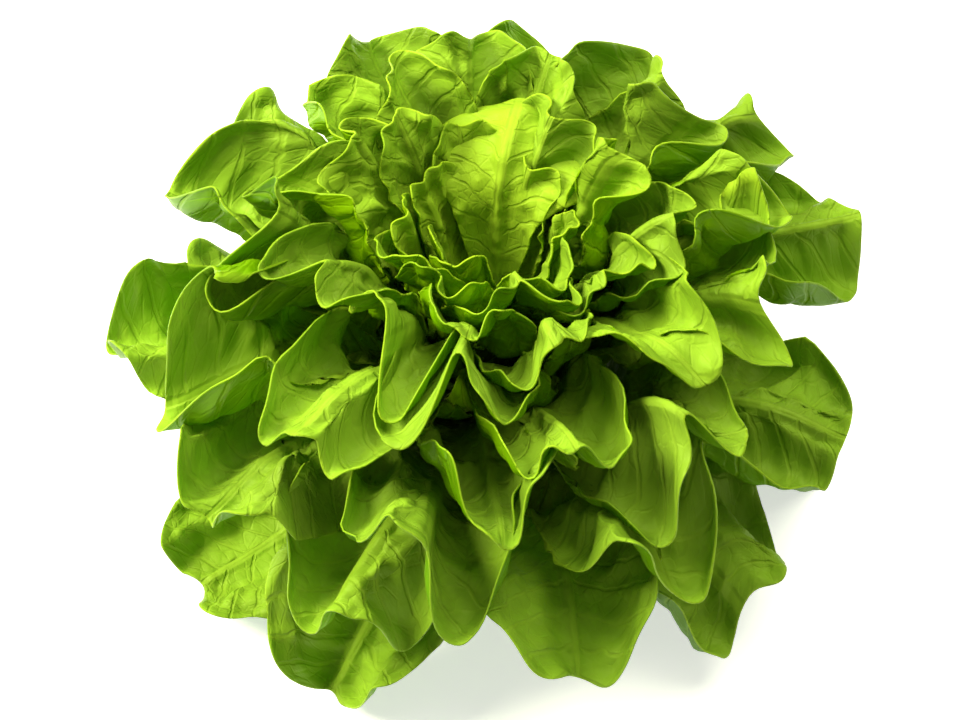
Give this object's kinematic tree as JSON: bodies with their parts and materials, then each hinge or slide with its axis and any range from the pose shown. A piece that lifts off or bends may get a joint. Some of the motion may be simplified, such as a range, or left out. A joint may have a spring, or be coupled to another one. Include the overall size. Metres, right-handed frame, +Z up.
{
  "type": "head of lettuce",
  "caption": "Head of green loose-leaf lettuce as picked: a short cut stem with a spiral of rounded, wavy leaves, standing on its cut.",
  "frame": {"origin": "centre of the flat cut under the stem, on the surface that the head rests on", "axes": "+Z up along the stem, from the cut to the heart; -Y is the front of the head; +X is its right seen from the front"},
  "size_m": [0.2855, 0.2433, 0.1543],
  "materials": {
    "stem": "moist pale green-white cut stem, satin",
    "heart_leaf": "fresh yellow-green leaf, soft satin sheen",
    "inner_leaf": "bright yellow-green leaf, soft satin sheen",
    "middle_leaf": "mid-green leaf, paler underside, soft satin sheen",
    "outer_leaf": "deeper green leaf, paler underside, satin sheen",
    "skirt_leaf": "deeper green lowest leaf, paler underside, satin sheen"
  },
  "bodies": {
    "root": {"stem": "stem", "heart_leaf_01": "heart_leaf", "heart_leaf_02": "heart_leaf", "heart_leaf_03": "heart_leaf", "heart_leaf_04": "heart_leaf", "heart_leaf_05": "heart_leaf", "heart_leaf_06": "heart_leaf", "heart_leaf_07": "heart_leaf", "heart_leaf_08": "heart_leaf", "inner_leaf_01": "inner_leaf", "inner_leaf_02": "inner_leaf", "inner_leaf_03": "inner_leaf", "inner_leaf_04": "inner_leaf", "inner_leaf_05": "inner_leaf", "inner_leaf_06": "inner_leaf", "inner_leaf_07": "inner_leaf", "inner_leaf_08": "inner_leaf", "inner_leaf_09": "inner_leaf", "inner_leaf_10": "inner_leaf", "inner_leaf_11": "inner_leaf", "middle_leaf_01": "middle_leaf", "middle_leaf_02": "middle_leaf", "middle_leaf_03": "middle_leaf", "middle_leaf_04": "middle_leaf", "middle_leaf_05": "middle_leaf", "middle_leaf_06": "middle_leaf", "middle_leaf_07": "middle_leaf", "middle_leaf_08": "middle_leaf", "middle_leaf_09": "middle_leaf", "middle_leaf_10": "middle_leaf", "middle_leaf_11": "middle_leaf", "middle_leaf_12": "middle_leaf", "middle_leaf_13": "middle_leaf", "middle_leaf_14": "middle_leaf", "middle_leaf_15": "middle_leaf", "middle_leaf_16": "middle_leaf", "middle_leaf_17": "middle_leaf", "outer_leaf_01": "outer_leaf", "outer_leaf_02": "outer_leaf", "outer_leaf_03": "outer_leaf", "outer_leaf_04": "outer_leaf", "outer_leaf_05": "outer_leaf", "outer_leaf_06": "outer_leaf", "outer_leaf_07": "outer_leaf", "outer_leaf_08": "outer_leaf", "outer_leaf_09": "outer_leaf", "outer_leaf_10": "outer_leaf", "outer_leaf_11": "outer_leaf", "outer_leaf_12": "outer_leaf", "outer_leaf_13": "outer_leaf", "outer_leaf_14": "outer_leaf", "outer_leaf_15": "outer_leaf", "outer_leaf_16": "outer_leaf", "skirt_leaf_01": "skirt_leaf", "skirt_leaf_02": "skirt_leaf", "skirt_leaf_03": "skirt_leaf", "skirt_leaf_04": "skirt_leaf", "skirt_leaf_05": "skirt_leaf", "skirt_leaf_06": "skirt_leaf", "skirt_leaf_07": "skirt_leaf"}
  },
  "joints": []
}
